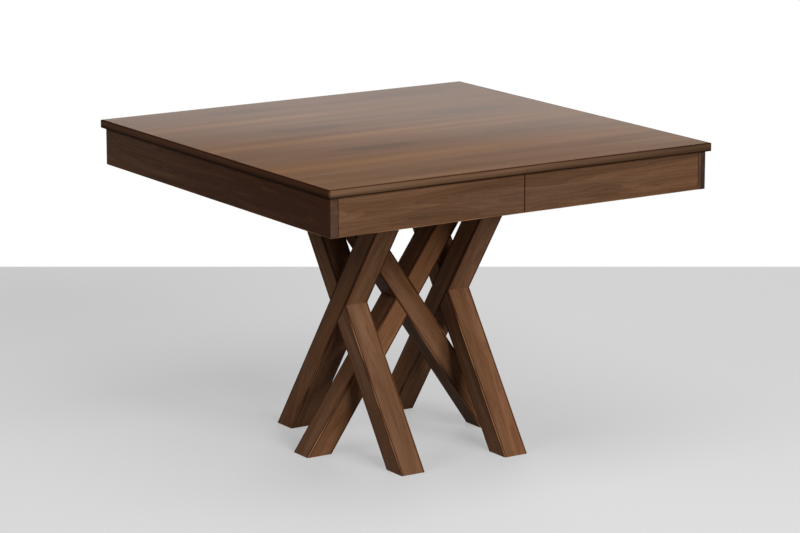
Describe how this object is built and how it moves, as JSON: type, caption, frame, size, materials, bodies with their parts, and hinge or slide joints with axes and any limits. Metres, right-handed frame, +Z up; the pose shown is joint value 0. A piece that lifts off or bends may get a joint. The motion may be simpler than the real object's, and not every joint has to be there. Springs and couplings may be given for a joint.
{
  "type": "extending table",
  "caption": "Square wooden dining table on half-lapped cross frames; the top parts in the middle on geared slides to extend.",
  "frame": {"origin": "on the floor under the middle of the closed top", "axes": "+X along the front edge, the way in which the right half runs out; +Y from the front to the back; +Z up"},
  "size_m": [1.067, 1.067, 0.768],
  "materials": {
    "dark_wood": "satin dark walnut stain",
    "pale_wood": "planed and waxed",
    "steel": "zinc plated",
    "brass": "machined"
  },
  "bodies": {
    "base": {"left_frame_front_foot_beam": "dark_wood", "left_frame_back_foot_beam": "dark_wood", "right_frame_front_foot_beam": "dark_wood", "right_frame_back_foot_beam": "dark_wood", "middle_frame_left_foot_beam": "dark_wood", "middle_frame_right_foot_beam": "dark_wood", "base_rail_left": "dark_wood", "base_rail_right": "dark_wood", "base_rail_middle": "dark_wood", "base_screws": "steel", "lap_dowels": "pale_wood", "slide_centre_front": "pale_wood", "slide_centre_back": "pale_wood", "slide_screws_base": "steel", "slide_stop_pins": "steel", "pinion_axles": "steel"},
    "left_half": {"top_left": "dark_wood", "apron_front_left": "dark_wood", "apron_back_left": "dark_wood", "apron_side_left": "dark_wood", "corner_block_front_left": "pale_wood", "corner_block_back_left": "pale_wood", "apron_dowels_left": "pale_wood", "top_buttons_left": "pale_wood", "short_screws_left": "steel", "slide_rail_left_front": "pale_wood", "slide_rail_left_back": "pale_wood", "rack_left_front": "brass", "rack_left_back": "brass", "slide_screws_left": "steel", "lock_keepers": "steel"},
    "right_half": {"top_right": "dark_wood", "apron_front_right": "dark_wood", "apron_back_right": "dark_wood", "apron_side_right": "dark_wood", "corner_block_front_right": "pale_wood", "corner_block_back_right": "pale_wood", "apron_dowels_right": "pale_wood", "top_buttons_right": "pale_wood", "short_screws_right": "steel", "slide_rail_right_front": "pale_wood", "slide_rail_right_back": "pale_wood", "rack_right_front": "brass", "rack_right_back": "brass", "slide_screws_right": "steel", "alignment_pins": "pale_wood", "lock_plates": "steel", "lock_rivets": "steel"},
    "front_pinion": {"pinion_front": "brass"},
    "back_pinion": {"pinion_back": "brass"},
    "front_lock": {"lock_lever_front": "steel"},
    "back_lock": {"lock_lever_back": "steel"}
  },
  "joints": [
    {"name": "left_half_slide", "type": "slide", "parent": "base", "child": "left_half", "axis": [-1, 0, 0], "range_m": [0, 0.305]},
    {"name": "right_half_slide", "type": "slide", "parent": "base", "child": "right_half", "axis": [1, 0, 0], "range_m": [0, 0.305]},
    {"name": "front_pinion_spin", "type": "hinge", "parent": "base", "child": "front_pinion", "pos_m": [0, -0.2, 0.7052], "axis": [0, 0, 1], "range_deg": [0, 777]},
    {"name": "back_pinion_spin", "type": "hinge", "parent": "base", "child": "back_pinion", "pos_m": [0, 0.2, 0.7052], "axis": [0, 0, 1], "range_deg": [0, 777]},
    {"name": "front_lock_turn", "type": "hinge", "parent": "right_half", "child": "front_lock", "pos_m": [0.0353, -0.383, 0.7438], "axis": [0, 0, 1], "range_deg": [0, 90]},
    {"name": "back_lock_turn", "type": "hinge", "parent": "right_half", "child": "back_lock", "pos_m": [0.0353, 0.383, 0.7438], "axis": [0, 0, 1], "range_deg": [0, 90]}
  ],
  "couplings": [
    {"joint": "right_half_slide", "follows": "left_half_slide", "ratio": 1},
    {"joint": "front_pinion_spin", "follows": "left_half_slide", "rad_per_m": 44.444},
    {"joint": "back_pinion_spin", "follows": "left_half_slide", "rad_per_m": 44.444}
  ]
}
